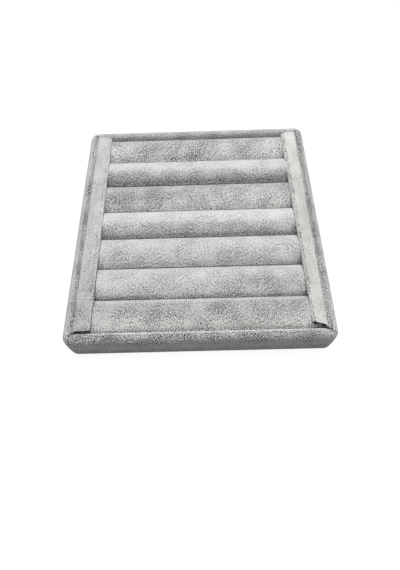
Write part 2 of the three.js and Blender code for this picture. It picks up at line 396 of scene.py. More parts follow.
def fibreboardMaterial():
    made, tree = newMaterial("sawnFibreboard")
    place = addNode(tree, "TexCoord").outputs["Object"]
    fine, slow = (1 / (boardLook[key] * mm) for key in ("fibreMm", "mottleMm"))
    fibre = addNode(tree, "TexNoise", {"Scale": fine, "Detail": 4}, {"Vector": place})
    mottle = addNode(tree, "TexNoise", {"Scale": slow, "Detail": 2}, {"Vector": place})
    share = {"operation": "MULTIPLY_ADD", 1: boardLook["mottleShare"]}
    finishMottled(tree, boardLook, addNode(tree, "Math", share, {0: mottle, 2: fibre}), fibre)
    return made


# Grey board, pressed from waste paper: mid grey with paler and darker paper flecks, matt
cardLook = {
    "fleckMm": 1.1,
    "fade": (0.3, 0.7),
    "darkHex": "#74726D",
    "paleHex": "#A09D96",
    "bump": 0.3,
    "reliefMm": 0.05,
    "finish": {"Roughness": 0.9, "Specular IOR Level": 0.25},
}


def cardMaterial():
    made, tree = newMaterial("greyPaperboard")
    place = addNode(tree, "TexCoord").outputs["Object"]
    settings = {"Scale": 1 / (cardLook["fleckMm"] * mm), "Detail": 5}
    flecks = addNode(tree, "TexNoise", settings, {"Vector": place})
    finishMottled(tree, cardLook, flecks, flecks)
    return made


# Needle-punched felt, dark grey: matted fibres in two crossing directions, with a little bloom
feltLook = {
    "fibreMm": (5, 0.5, 1),
    "turnsDeg": (25, -65),
    "fade": (0.4, 0.75),
    "darkHex": "#2B2C2F",
    "paleHex": "#5A5C60",
    "bump": 0.7,
    "reliefMm": 0.25,
    "finish": {"Roughness": 0.95, "Specular IOR Level": 0.15, "Sheen Weight": 0.3, "Sheen Roughness": 0.5},
}


def feltMaterial():
    made, tree = newMaterial("needledFelt")
    place = addNode(tree, "TexCoord").outputs["Object"]
    scale = tuple(1 / (size * mm) for size in feltLook["fibreMm"])
    crossing = []
    for turn in feltLook["turnsDeg"]:
        turned = addNode(tree, "Mapping", {"Rotation": (0, 0, math.radians(turn))}, {"Vector": place})
        drawn = addNode(tree, "Mapping", {"Scale": scale}, {"Vector": turned})
        crossing.append(addNode(tree, "TexNoise", {"Scale": 1, "Detail": 3}, {"Vector": drawn}))
    fibres = addNode(tree, "Math", {"operation": "MAXIMUM"}, {0: crossing[0], 1: crossing[1]})
    finishMottled(tree, feltLook, fibres, fibres)
    return made


# Plan of the tray: the well inside the rim, and the strips. The rolls are fitted under the strips, so the
# settings of the strips come first.
strip = {
    "velvetMm": 0.9,
    "edgeMm": 1.6,  # outer radius of the lower edges
    "foldMm": 1.0,  # outer radius of the upper edges
    "slantMm": 0.8,  # lean of the inner side
    "hemGapMm": 3,
    "backMm": 1.2,  # how far the wrap stops short at the back
    "openShare": (-0.06, 0.24),  # share of the width over which the front end comes away from the rim
    "sagLengthMm": 2.5,  # past the end of the card the wrap sags
    "sagShare": 0.35,
    "waveMm": 0.15,
    "waveLengthMm": 45,
    "spacingMm": 0.6,
    "innerStep": 2,  # the inner face takes every second point
    "napMm": 0.05,
}
# frontMm is the gap at the front and skewMm how much wider it is at the inner edge, taperMm how far the inner
# edge is drawn to the rim at the front. In the pile, row is specks along the fold, outer at the outer edge
# and loose towards the front, the ridge value is a painted highlight on the pale line beside the fold, and
# the lay values hold front, middle and back.
stripEnds = {
    "left": {
        "side": -1, "frontMm": 0.5, "skewMm": 0.8, "taperMm": 0, "sagMm": 1.2, "seed": 131,
        "partings": 0.18, "row": 0.4, "outer": 0.5, "loose": 0.28, "ridgeHighlight": 0.5, "layAndPaintedLight": (0.56, 0.78, 0.80),
        "tint": {"paleHex": "#D8D7D7", "evenHex": "#BBBBBD"},
    },
    "right": {
        "side": 1, "frontMm": 0.7, "skewMm": 3.0, "taperMm": 2.3, "sagMm": 0, "seed": 151,
        "partings": 0.14, "row": 0.85, "outer": 0.25, "loose": 0, "ridgeHighlight": 0.8, "layAndPaintedLight": (0.92, 0.72, 1.05),
        "tint": {"paleHex": "#DCDAD7", "evenHex": "#C2C0BD", "tipHex": "#F6F4F1"},
    },
}
rimLow, rimHigh = boxMm("rim_velvet")
rimHalf = (rimHigh - rimLow)[:2] / 2
rimWidth = 7.7
wellHalf = rimHalf - rimWidth
leftLow, leftHigh = boxMm("left_strip_velvet")
stripOuter, stripInner = -leftLow[0], -leftHigh[0]
stripBottom, stripTop = leftLow[2], leftHigh[2]


def stripEdge(name, y):
    # distance of a strip's inner edge from the middle of the tray
    return stripInner + stripEnds[name]["taperMm"] * (0.5 - y / (2 * wellHalf[1]))


# Rolls: a velvet sleeve swollen by its foam core, and pressed flat under the strips
roll = {
    "count": 7,
    "archMm": 15.4,  # radius of the round top, which meets its neighbours at a slope
    "archSteps": 200,
    "shoulderMm": 0.6,  # radius where it turns down beside them
    "foldMm": 1.4,
    "hemGapMm": 6,
    "velvetMm": 0.9,
    "glueMm": 0.2,
    "endRiseMm": 0.5,  # the ends can't swell, so they start higher
    "endLengthMm": 10,
    "stripGapMm": 0.45,  # to the inner edge of a strip
    "crowdMm": (0, 0.06, 0.2, 0.5),  # stations crowd at the step beside a strip, so that its edge stays crisp
    "underSteps": 8,  # stations under a strip
    "waveMm": 0.12,  # slow rise and fall of the crest
    "waveLengthMm": 38,
    "slackMm": 0.4,  # the sleeve is this much lower before it swells
    "swellMm": 0.6,  # most that a point may move as it swells
    "freeMm": 2,  # height above its neighbours at which it moves freely
    "pressure": 30,
    "frames": 20,
    "coarseMm": 2.5,
    "spacingMm": 0.6,
    "innerStep": 3,  # the inner face and the foam take every third point
    "napMm": 0.09,
}
# Areas of a roll's pile, in degrees over it from the back, each from where it starts to where it is full
rollLook = {
    "sideDeg": 75,  # from the crown to the sides
    # painted highlight along the back edge of a roll
    "lip": (48, 30),
    "crown": (120, 90),
    "front": (85, 170),
    # painted shade in the slit where a roll meets the next
    "slit": (146, 162),
    "beside": (100, 140),  # lower corner beside a strip, darkened as painted shade from the strip
    "besideMm": 6,
    "besideShade": 0.4,
    "rubDeg": 32,
    "rubDeeper": 0.6,
    "lipHighlightSmooth": 0.2,
    "slitShadeSpecks": 0.8,
    "slitEven": 0.3,  # a slit of this strength darkens as painted shade but adds no specks
    "tips": 0.66,
    "size": 1.05,  # strokes and grain are drawn coarser on the rolls further back, so that they show
    "sizeStep": 0.03,
    "mapShiftMm": (7.3, 90),  # each sleeve is cut from its own part of the cloth
}
# Each roll's pile: tone is how pale it lies, toFront how much deeper it gets down its front, partings how
# loose it is, crown how strong its area is, lip how strong the painted highlight along its back edge is, slit
# how strong the painted shade in the slit to the next roll is, way how far the first direction of strokes
# leads, riseMm how much higher the crest is, and rubbed holds patches as place along, degrees over from the
# back, length, and how much darker
rollPile = {
    1: {"tone": 0.78, "toFront": -0.36, "partings": 0.61, "crown": 0, "lip": 0.1, "slit": 0.3, "way": 0.08,
        "riseMm": 0, "seed": 11,
        "rubbed": [(-41, 115, 14, 0.22), (-6, 150, 12, 0.3), (41, 125, 14, 0.2), (-64, 110, 10, -0.3),
                   (63, 105, 12, -0.3)]},
    2: {"tone": 0.86, "toFront": 0.88, "partings": 0.45, "crown": 0.3, "lip": 0, "slit": 0.6, "way": 0,
        "riseMm": 0.4, "seed": 23,
        "rubbed": [(-50, 110, 18, 0.15)]},
    3: {"tone": 0.60, "toFront": -0.66, "partings": 0.58, "crown": 0, "lip": 0.05, "slit": 0.35, "way": 0.08,
        "riseMm": 0, "seed": 37,
        "rubbed": [(-46, 105, 26, 0.27), (-68, 150, 10, 0.15), (50, 105, 30, -0.12)]},
    4: {"tone": 0.96, "toFront": 0.68, "partings": 0.47, "crown": 0.3, "lip": 0, "slit": 0.5, "way": -0.03,
        "riseMm": -0.4, "seed": 41,
        "rubbed": [(-8, 110, 22, 0.12)]},
    5: {"tone": 0.81, "toFront": -0.08, "partings": 0.45, "crown": 0.1, "lip": 0, "slit": 0.4, "way": 0,
        "riseMm": -0.2, "seed": 59,
        "rubbed": [(62, 110, 16, 0.05)]},
    6: {"tone": 0.79, "toFront": -0.14, "partings": 0.45, "crown": 0.12, "lip": 0, "slit": 0.7, "way": -0.06,
        "riseMm": -0.8, "seed": 67,
        "rubbed": [(42, 102, 22, 0.32), (-60, 110, 14, -0.1)]},
    7: {"tone": 0.48, "toFront": -1.14, "partings": 0.53, "crown": 0, "lip": 0.35, "slit": 0.5, "way": -0.06,
        "riseMm": 0, "seed": 83,
        "rubbed": [(-28, 98, 12, 0.3), (12, 88, 12, 0.27), (41, 110, 12, 0.12), (54, 82, 10, 0.2),
                   (-52, 88, 7, 0.14), (-66, 100, 10, -0.4), (66, 112, 8, -0.2)]},
}


def rollSection(half, bottom, crest, spacing):
    # from one hem over the crown to the other: flat bottom, folded edge, upright side, tight shoulder, arch
    fold, turn, arch = roll["foldMm"], roll["shoulderMm"], roll["archMm"]
    inset = half - turn
    rise = math.sqrt((arch - turn) ** 2 - inset ** 2)
    start = math.degrees(math.atan2(rise, inset))
    middle = crest - arch
    side = np.concatenate([
        [[roll["hemGapMm"] / 2, bottom]],
        arcPoints((half - fold, bottom + fold), fold, 270, 360),
        arcPoints((inset, middle + rise), turn, 0, start),
    ])
    over = arcPoints((0, middle), arch, start, 180 - start, roll["archSteps"])[1:-1]
    return resample(np.concatenate([side, over, side[::-1] * [-1, 1]]), spacing)


def rollTouch(half, crest):
    # height at which the arch meets the upright side
    return crest - roll["archMm"] + math.sqrt(roll["archMm"] ** 2 - half ** 2)


def rollStations(edges, end, spacing):
    # places along the roll, how far the sleeve rises at each towards the strips, and which lie under a strip
    left, right = (edge - roll["stripGapMm"] for edge in edges)
    *close, first = roll["crowdMm"]
    close = np.array(close)
    free = np.linspace(first - left, right - first, int((left + right) / spacing))
    under = np.linspace(0.1, 1, roll["underSteps"])
    x = np.concatenate([-left - under[::-1] * (end - left), close - left, free, right - close[::-1],
                        right + under * (end - right)])
    beside = np.where(x < 0, left, right)
    rise = roll["endRiseMm"] * ((np.abs(x) - beside) / roll["endLengthMm"] + 1).clip(0, 1) ** 2
    return x, rise, np.abs(x) > beside + 0.01


def carryRoll(section, stations, middle):
    # the section at each station, cut off level under the strips; the right end follows its slanting strip
    x, rise, pressed = stations
    y, z = section[:, 0], section[:, 1]
    lift = ((z - z.min()) / (z.max() - z.min())) ** 2
    taper = stripEnds["right"]["taperMm"]
    slide = (x / stripInner).clip(0, 1) * ((stripOuter - x) / (stripOuter - stripInner)).clip(0, 1)
    places = np.zeros((len(x), len(y), 3))
    places[..., 0] = x[:, None] + slide[:, None] * taper * (y.max() - y) / (2 * wellHalf[1])
    places[..., 1] = middle + y
    places[..., 2] = z + lift * rise[:, None]
    places[pressed, :, 2] = places[pressed, :, 2].clip(None, stripBottom - roll["glueMm"])
    return places


def swell(places, held):
    # cloth under pressure: a closed slack tube, held where held is true, and how far each of its points moves
    mesh = gridMesh("slackSleeve", places)
    sleeve = bpy.data.objects.new("slackSleeve", mesh)
    scene = bpy.context.scene
    scene.collection.objects.link(sleeve)
    pins = sleeve.vertex_groups.new(name="held")
    pins.add(np.flatnonzero(held.ravel()).tolist(), 1.0, "REPLACE")
    cloth = sleeve.modifiers.new("cloth", "CLOTH").settings
    cloth.use_pressure = True
    cloth.uniform_pressure_force = roll["pressure"]
    cloth.vertex_group_mass = "held"
    cloth.effector_weights.gravity = 0
    for step in range(1, roll["frames"] + 1):
        scene.frame_set(step)
    shown = sleeve.evaluated_get(bpy.context.evaluated_depsgraph_get()).data
    moved = np.empty(len(shown.vertices) * 3, np.float32)
    shown.vertices.foreach_get("co", moved)
    scene.frame_set(1)
    bpy.data.objects.remove(sleeve)
    bpy.data.meshes.remove(mesh)
    travel = moved.reshape(places.shape) / mm - places
    length = np.linalg.norm(travel, axis=2)[..., None]
    return travel * np.minimum(1, roll["swellMm"] / np.maximum(length, 1e-6))


def rollSurface(pile, low, high, edges):
    # outer face of a sleeve: the section carried along the roll, moved as its coarse twin swells, with a slow
    # wave; also its places along x, its section, the distances round that, and how free each point is
    middle, half = (low[1] + high[1]) / 2, (high[1] - low[1]) / 2
    slim = (half, low[2], high[2] - roll["slackMm"] + pile["riseMm"])
    touch = rollTouch(half, slim[2])
    section, run = rollSection(*slim, roll["spacingMm"])
    fine = rollStations(edges, high[0], roll["spacingMm"])
    x, _, pressed = fine
    outer = carryRoll(section, fine, middle)

    coarse, _ = rollSection(*slim, roll["coarseMm"])
    wide = rollStations(edges, high[0], roll["coarseMm"])
    xWide, _, under = wide
    held = under[:, None] | (coarse[:, 1] < touch)
    travel = swell(carryRoll(coarse, wide, middle), held)
    travel = refine(travel, np.interp(x, xWide, np.arange(len(xWide))))
    travel = refine(travel.swapaxes(0, 1), np.linspace(0, len(coarse) - 1, len(section))).swapaxes(0, 1)

    free = ~pressed[:, None] * ease((section[:, 1] - touch) / roll["freeMm"])
    fromEnd = np.where(x < 0, *edges) - roll["stripGapMm"] - np.abs(x)
    outer += travel * free[..., None] * ease(fromEnd / roll["endLengthMm"])[:, None, None]
    outer[..., 2] += free * roll["waveMm"] * wave(x, roll["waveLengthMm"], pile["seed"])[:, None]
    outer[..., 1] = outer[..., 1].clip(middle - half, middle + half)
    return outer, x, section, run, free


def rollPaint(pile, x, over, edges):
    # how the pile lies and where it is parted, for each place along the roll and each angle over it, with a
    # painted highlight along the back edge and painted shade in the slits and in the lower corners beside the
    # strips
    rubbed = np.zeros((len(x), len(over)))
    for along, angle, length, darker in pile["rubbed"]:
        spread = ((x[:, None] - along) / length) ** 2 + ((over - angle) / rollLook["rubDeg"]) ** 2
        rubbed += darker * np.exp(-spread)
    lip, crown, front, slit, beside = (fade(over, *rollLook[area])
                                       for area in ("lip", "crown", "front", "slit", "beside"))
    # painted shade that a strip throws on the lower corner of a roll's end
    corner = ease(1 + (np.abs(x) - np.where(x < 0, *edges)) / rollLook["besideMm"])[:, None] * beside
    layAndPaintedLight = pile["tone"] - pile["toFront"] * front - rollLook["rubDeeper"] * rubbed
    layAndPaintedLight += pile["lip"] * lip - pile["slit"] * slit - rollLook["besideShade"] * corner
    parted = rubbed - pile["crown"] * crown - rollLook["lipHighlightSmooth"] * lip
    parted += rollLook["slitShadeSpecks"] * (pile["slit"] - rollLook["slitEven"]) * slit
    return layAndPaintedLight, parted


def makeRoll(number):
    # sleeve between its outer face with tufts and an inner face one velvet deeper, and the foam core in it
    low, high = boxMm(f"roll_velvet_{number}")
    pile = rollPile[number]
    edges = [stripEdge(name, high[1]) for name in stripEnds]
    outer, x, section, run, free = rollSurface(pile, low, high, edges)
    normal = np.zeros(outer.shape)
    normal[..., 1:] = rightNormals(outer[..., 1:])
    tufts = roll["napMm"] * napRelief(x[:, None], run[None], pile["seed"]) * free
    inner = outer - roll["velvetMm"] * normal
    step = roll["innerStep"]
    places = np.concatenate([outer + tufts[..., None] * normal, inner[:, ::-step]], 1)

    over = 90 - rollLook["sideDeg"] * section[:, 0] / ((high[1] - low[1]) / 2)
    u = x + rollLook["mapShiftMm"][0] * pile["seed"]
    v = carryOn(run, places.shape[1], step * roll["spacingMm"]) + rollLook["mapShiftMm"][1] * number
    mesh = velvetMesh(f"rollVelvet{number}", places, u, v, rollPaint(pile, x, over, edges))
    size = rollLook["size"] - rollLook["sizeStep"] * (number - 1)
    cloth = velvetMaterial(f"crushedVelvetRoll{number}", pile["partings"], rollLook["tips"], size,
                           pile["way"])
    sleeve = addPiece(mesh, cloth, f"roll_velvet_{number}")

    core = outer - (roll["velvetMm"] + roll["glueMm"]) * normal
    mesh = gridMesh(f"rollFoam{number}", core[::step, ::step])
    filling = addPiece(mesh, foam, f"roll_foam_{number}")


foam = foamMaterial()
for number in range(1, roll["count"] + 1):
    makeRoll(number)
print("rolls made")


# Rim: one sheet of velvet from a hem under the base, up the outside, over the top and down into the well
rim = {
    "cornerMm": 7,
    "cornerSteps": 28,
    "leastRadiusMm": 0.4,
    "foldMm": 1.4,
    "hemMm": 12,
    "velvetMm": 0.9,
    "glueMm": 0.2,
    "bulgeMm": 0.25,  # how much further out the wall stands half way up
    "innerRoundMm": 2.6,  # the crest lies nearer to the well
    "profileSteps": 40,
    "spacingMm": 0.78,
    "innerStep": 4,  # the inner face takes every fourth point
    "napMm": 0.08,
    "napFootMm": 3,  # no tufts on the underside, full height from here up
    "seed": 101,
    "cutLengthMm": 4.2,  # relief cuts at the inner corners
    "cutWidthMm": 2.0,
    "cutEndMm": 1.2,
    "cutInsideMm": 1,  # how far inside the well's corner a cut starts
    "cutDownMm": 9,
    "cutDepthMm": (0.8, 0.8, 0.8, 3.2),  # back right, back left, front left, front right
}
# The rim's pile, in mm from its inner edge over the top and down the wall. An area is how strong it is, where
# it starts and where it is full.
rimLook = {
    "partings": 0.41,
    "tips": 0.62,
    "size": 0.9,
    "layAndPaintedLight": 0.76,
    "reachMm": 4.5,  # how far out the pile is parted, more on the front and the right
    "reachFrontMm": 6,
    "reachRightMm": 3,
    "reachFadeMm": 4,
    "parted": 0.22,
    "partedFront": 0.15,
    "closed": 0.35,  # beyond that reach it lies closed
    "closedFadeMm": 3,
    "cutShade": 3,  # painted shade down in the cuts that are deeper than cutOpenMm
    "cutOpenMm": 1,
    "rowMm": 2.0,  # a row of specks beside each strip
    "rowParted": (0.28, 1.9, 0.7),
    "leftParted": (0.1, 4.5, 2.5),
    "rightParted": (0.1, 6.5, 4.5),
    "sidePaintedLight": (0.4, 2.6, 1.0),  # painted light on the inner slopes of the left and right, lifting their shade beside the strips
    "rightPale": 0.12,
    "sideDeep": 0.01,
    "backDeep": 0.12,
    # painted shade on the front, over its top and down its wall
    "frontShade": 0.06,
    "bandShade": (0.22, 0.6, 1.8),  # painted shade over the top of the front
    "bandEnd": (1, 10, 4),
    "wallShade": (0.46, 10, 28),
    "edgeMm": 0.2,  # inner edge of the front
    # a painted highlight along the inner edge of the front
    "edgeHighlight": (1.0, 1.2, 0.4),
    "edgeHighlightSmooth": 0.4,
}


def rimPath(spacing):
    # steps round the plan, arcs at the corners and straight runs between them: corner and angle at the start
    # and at the end of the run, and the share of the run
    steps = []
    runs = [rimHalf[1], rimHalf[0], rimHalf[1], rimHalf[0]]
    for k in range(4):
        a = np.radians(90 * k + np.linspace(0, 90, rim["cornerSteps"] + 1))
        steps += [(k, angle, k, angle, 0.0) for angle in a]
        length = 2 * (runs[(k + 1) % 4] - rim["cornerMm"])
        count = int(length / spacing)
        steps += [(k, a[-1], (k + 1) % 4, a[-1], i / count) for i in range(1, count)]
    return np.array(steps)


def rimPlaces(path, inset):
    # plan places for each step and inset: the corner's centre plus its radius, shared between a run's ends
    signs = np.array([[1, 1], [-1, 1], [-1, -1], [1, -1]])
    radius = np.maximum(rim["cornerMm"] - inset, rim["leastRadiusMm"])

    def onCorner(corner, angle):
        centre = signs[corner.astype(int)][:, None] * (rimHalf - (inset + radius)[:, None])
        turn = np.stack([np.cos(angle), np.sin(angle)], 1)
        return centre + radius[None, :, None] * turn[:, None]

    share = path[:, 4][:, None, None]
    return onCorner(path[:, 0], path[:, 1]) * (1 - share) + onCorner(path[:, 2], path[:, 3]) * share


def rimSection():
    # from the hem under the base: folded edge, bulging wall, a wide arc to the crest, a tight one into the
    # well; as inset from the outer face and height
    bulge, fold, tight, steps = rim["bulgeMm"], rim["foldMm"], rim["innerRoundMm"], rim["profileSteps"]
    wide = rimWidth - bulge - tight
    wallLow, wallHigh = rimLow[2] + fold, rimHigh[2] - wide
    share = np.linspace(0, 1, steps)
    wall = np.stack([bulge * (2 * share - 1) ** 2, wallLow + (wallHigh - wallLow) * share], 1)
    wellFloor = boxMm("base_board")[1][2] + rim["glueMm"]
    line = np.concatenate([
        [[rim["hemMm"], rimLow[2]]],
        arcPoints((fold + bulge, wallLow), fold, 270, 180),
        wall[1:-1],
        arcPoints((bulge + wide, wallHigh), wide, 180, 90, steps),
        arcPoints((rimWidth - tight, rimHigh[2] - tight), tight, 90, 0, steps)[1:],
        [[rimWidth, wellFloor]],
    ])
    return resample(line, rim["spacingMm"])


def rimCuts(places):
    # relief cuts: a narrow furrow on the diagonal of each inner corner, and the depth in each quarter
    reach = np.abs(places[..., :2]) - wellHalf
    outward, aside = reach.sum(2) / math.sqrt(2), np.abs(reach[..., 0] - reach[..., 1]) / math.sqrt(2)
    furrow = ease(1 - 2 * aside / rim["cutWidthMm"]) * ease((rim["cutLengthMm"] - outward) / rim["cutEndMm"])
    furrow *= (outward > -rim["cutInsideMm"]) * (places[..., 2] > rimHigh[2] - rim["cutDownMm"])
    quarter = np.floor(np.arctan2(places[..., 1], places[..., 0]) / (np.pi / 2)).astype(int) % 4
    return furrow, np.array(rim["cutDepthMm"])[quarter]


def rimPaint(fromEdge, inward, furrow, depth):
    # the pile is parted from the inner edge outwards, further down on the front, and lies closed beyond;
    # painted shade darkens the front over its top and down its wall and lies in the relief cuts, a painted
    # highlight runs along the inner edge of the front, and painted light lifts the inner slopes of the sides
    look = rimLook
    left, front = (inward[:, None, axis].clip(0, 1) for axis in (0, 1))
    right, back = ((-inward[:, None, axis]).clip(0, 1) for axis in (0, 1))
    sides = 1 - (front + back)
    extent = look["reachMm"] + look["reachFrontMm"] * front + look["reachRightMm"] * right

    def area(key, middle=0.0):
        # an area that runs along the rim, or to both sides of a middle
        strength, start, full = look[key]
        return strength * fade(np.abs(fromEdge - middle) if middle else fromEdge, start, full)

    # painted highlight along the inner edge of the front
    edge = front * area("edgeHighlight", look["edgeMm"])
    parted = (look["parted"] + look["partedFront"] * front) * ease((extent - fromEdge) / look["reachFadeMm"])
    parted = parted + look["cutShade"] * furrow * (depth > look["cutOpenMm"])
    parted -= look["closed"] * ease((fromEdge - extent) / look["closedFadeMm"])
    parted += sides * area("rowParted", look["rowMm"])
    parted += left * area("leftParted") + right * area("rightParted")
    parted -= look["edgeHighlightSmooth"] * edge
    # painted shade on the front
    paintedFrontShade = front * (area("bandShade") * area("bandEnd") + area("wallShade") + look["frontShade"])
    # furrow here is painted shade in the relief cuts
    layAndPaintedLight = look["layAndPaintedLight"] - look["sideDeep"] * sides - look["backDeep"] * back - paintedFrontShade - furrow
    layAndPaintedLight += sides * area("sidePaintedLight") + look["rightPale"] * right + edge
    return layAndPaintedLight, parted


def makeRim():
    # the section and an inner face one velvet deeper, carried round the plan, then raised by tufts and cut in
    outer, run = rimSection()
    normal = -rightNormals(outer)
    step = rim["innerStep"]
    contour = np.concatenate([outer, (outer - rim["velvetMm"] * normal)[::-step]])
    n, top = len(outer), np.argmax(outer[:, 1])
    path = rimPath(rim["spacingMm"])
    plan = rimPlaces(path, contour[:, 0])
    places = np.concatenate([plan, np.broadcast_to(contour[:, 1], plan.shape[:2])[..., None]], 2)
    inward = rimPlaces(path, contour[:, 0] + 1.0) - plan
    middle = rimPlaces(path, np.array([rimWidth / 2]))[:, 0]
    u = distances(np.concatenate([middle, middle[:1]]))
    v = carryOn(run, len(contour), step * rim["spacingMm"])

    furrow, depth = rimCuts(places[:, :n])
    tufts = rim["napMm"] * napRelief(u[:-1, None], run[None], rim["seed"])
    tufts = tufts * ((outer[:, 1] - rimLow[2]) / rim["napFootMm"]).clip(0, 1)
    raised = tufts - furrow * depth
    places[:, :n, :2] += inward[:, :n] * (raised * normal[:, 0])[..., None]
    places[:, :n, 2] += raised * normal[:, 1]

    fromEdge = run[top] + rim["innerRoundMm"] - run
    paint = rimPaint(fromEdge, inward[:, n // 2], furrow, depth)
    mesh = velvetMesh("rimVelvet", places, u, v, paint, ring=True, flip=True)
    cloth = velvetMaterial("crushedVelvetRim", rimLook["partings"], rimLook["tips"], rimLook["size"])
    piece = addPiece(mesh, cloth, "rim_velvet")
    # flat cut: from the crest of the rim out to the hem, less the opening inside the well
    crestSize = 2 * (rimHalf - outer[top, 0])
    cut = crestSize + 2 * run[top]
    opening = crestSize - 2 * (run[-1] - run[top])
    (cut.prod() - opening.prod()) * mm * mm


makeRim()
print("rim made")


# Strips: a card in a velvet wrap, open at both ends, laid over the ends of the rolls. Places across the pile
# are in mm from the fold between the top and the leaning inner side.
stripLook = {
    "tips": 0.25,
    "size": 1.05,
    "foldMm": 0.5,  # from the inner edge of the top to the fold
    "topMm": 1.5,  # the upper side reaches this far down
    "rowMm": 0.3,  # the row of specks along the fold
    "rowFadeMm": (1.04, 0.24),
    "rowSpeckMm": 1.5,
    "rowSpeckShare": 0.7,
    "outerMm": 1.2,
    "looseShare": 0.5,  # share of the length that is looser towards the front
    # the ridge beside the fold carries a painted highlight
    "ridgeMm": 0.5,
    "ridgeFootMm": 1,
    "creviceMm": 0.6,  # painted shade between the leaning side and the rolls
    "creviceDownMm": 2.2,
    "creviceShade": 0.9,
    "creviceShadeSpecks": 0.6,
    "inside": (0.0, 1.2),  # the pile's lie and partings inside the wrap, dark: painted shade in the open ends
}


def stripSection():
    # from one hem round to the other, as place across from the strip's middle towards the rim, and height
    half, slant = (stripOuter - stripInner) / 2, strip["slantMm"]
    edge, fold = strip["edgeMm"], strip["foldMm"]
    low, high = stripBottom + edge, stripTop - fold
    over, up = slant + fold - edge, high - low
    lean = math.degrees(math.atan2(over, up) + math.asin((edge - fold) / math.hypot(over, up)))
    return resample(np.concatenate([
        [[strip["hemGapMm"] / 2, stripBottom]],
        arcPoints((half - edge, low), edge, 270, 360),
        arcPoints((half - fold, high), fold, 0, 90),
        arcPoints((fold - half + slant, high), fold, 90, 180 - lean),
        arcPoints((edge - half, low), edge, 180 - lean, 270),
        [[-strip["hemGapMm"] / 2, stripBottom]],
    ]), strip["spacingMm"])


def stripPaint(end, outer, y, share):
    # the pile parts in specks along the fold, at the outer edge and towards the front; a painted highlight
    # stands pale on the ridge beside the fold, and painted shade lies deep in the crevice below that
    look = stripLook
    half = (stripOuter - stripInner) / 2
    across, below = outer[:, 0] - (strip["slantMm"] + look["foldMm"] - half), stripTop - outer[:, 1]
    onTop = below < look["topMm"]
    specks = look["rowSpeckShare"] * (1 + wave(y, look["rowSpeckMm"], end["seed"] + 5))
    row = onTop * fade(np.abs(across - look["rowMm"]), *look["rowFadeMm"]) * specks
    outerEdge = onTop * fade(outer[:, 0], half - look["outerMm"], half)
    ridgeHighlight = fade(across, 0, -look["ridgeMm"]) * (outer[:, 1] > stripBottom + look["ridgeFootMm"])
    crevice = (across < -look["creviceMm"]) * fade(below, look["topMm"], look["creviceDownMm"])
    layAndPaintedLight = np.interp(share, [0, 0.5, 1], end["layAndPaintedLight"]) + end["ridgeHighlight"] * ridgeHighlight - look["creviceShade"] * crevice
    parted = end["row"] * row + end["outer"] * outerEdge + end["loose"] * fade(share, look["looseShare"], 0)
    return layAndPaintedLight, parted + look["creviceShadeSpecks"] * crevice


def makeStrip(name):
    # the section carried from front to back; innerShare runs across it, from the rim to the inner edge
    end = stripEnds[name]
    low, far = boxMm(f"{name}_strip_velvet")
    length = far[1] - low[1] - strip["backMm"]
    outer, run = stripSection()
    normal = rightNormals(outer)
    step = strip["innerStep"]
    contour = np.concatenate([outer, (outer - strip["velvetMm"] * normal)[::-step]])
    n = len(outer)
    width = stripOuter - stripInner
    innerShare = (width / 2 - contour[:, 0]) / width
    front = end["frontMm"] * fade(innerShare, *strip["openShare"]) + end["skewMm"] * innerShare - wellHalf[1]
    share = np.linspace(0, 1, int(length / strip["spacingMm"]))[:, None]
    y = front * (1 - share) + (far[1] - strip["backMm"]) * share
    x = stripOuter + (stripEdge(name, y) - stripOuter) * innerShare
    thick = stripTop - stripBottom - strip["velvetMm"]
    lifted = ((contour[:, 1] - stripBottom - strip["velvetMm"]) / thick).clip(0, 1)
    sag = end["sagMm"] * fade(y - front, strip["sagLengthMm"], 0) * lifted
    sag = sag * fade(innerShare, 0, strip["sagShare"])
    z = contour[:, 1] + strip["waveMm"] * wave(y, strip["waveLengthMm"], end["seed"]) - sag
    places = np.stack([end["side"] * x, y, z], 2)
    tufts = strip["napMm"] * napRelief(y[:, :n], run[None], end["seed"])
    places[:, :n, 0] += end["side"] * tufts * normal[:, 0]
    places[:, :n, 2] += tufts * normal[:, 1]

    u, v = share[:, 0] * length, carryOn(run, len(contour), step * strip["spacingMm"])
    paint = stripPaint(end, outer, y[:, :n], share)
    mesh = velvetMesh(f"{name}StripVelvet", places, u, v, paint, stripLook["inside"], flip=end["side"] > 0)
    cloth = velvetMaterial(f"brushedVelvet{name.title()}Strip", end["partings"], stripLook["tips"],
                           stripLook["size"], tint=end["tint"])
    piece = addPiece(mesh, cloth, f"{name}_strip_velvet")


for name in stripEnds:
    makeStrip(name)
print("strips made")


# Finishes of the boards and cards inside, whose shapes come from the frame
def dress(nodes, material):
    for node in nodes:
        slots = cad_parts[node].data.materials
        slots.clear()
        slots.append(material)


dress(["base_board", "front_rail", "back_rail", "left_rail", "right_rail"], fibreboardMaterial())
dress(["left_strip_card", "right_strip_card"], cardMaterial())
print("boards and cards dressed")


# Liner under the tray: one sheet of felt, thin where it laps the turned-in hem and full between the hems
liner = {
    "insetMm": 3,
    "lapMm": 0.6,  # thickness over the hem
    "edgeMm": 0.25,
    "edgeSteps": 4,
    "stepMm": 12.4,  # from the tray's outer face to where the hem ends
    "slopeMm": 0.8,
    "levelMm": 2,  # from there to the first ring on the level top
    "reachMm": 86,
    "spacingMm": 2.2,
    "reliefMm": 0.05,
    "reliefLengthMm": 9,
    "seed": 171,
}


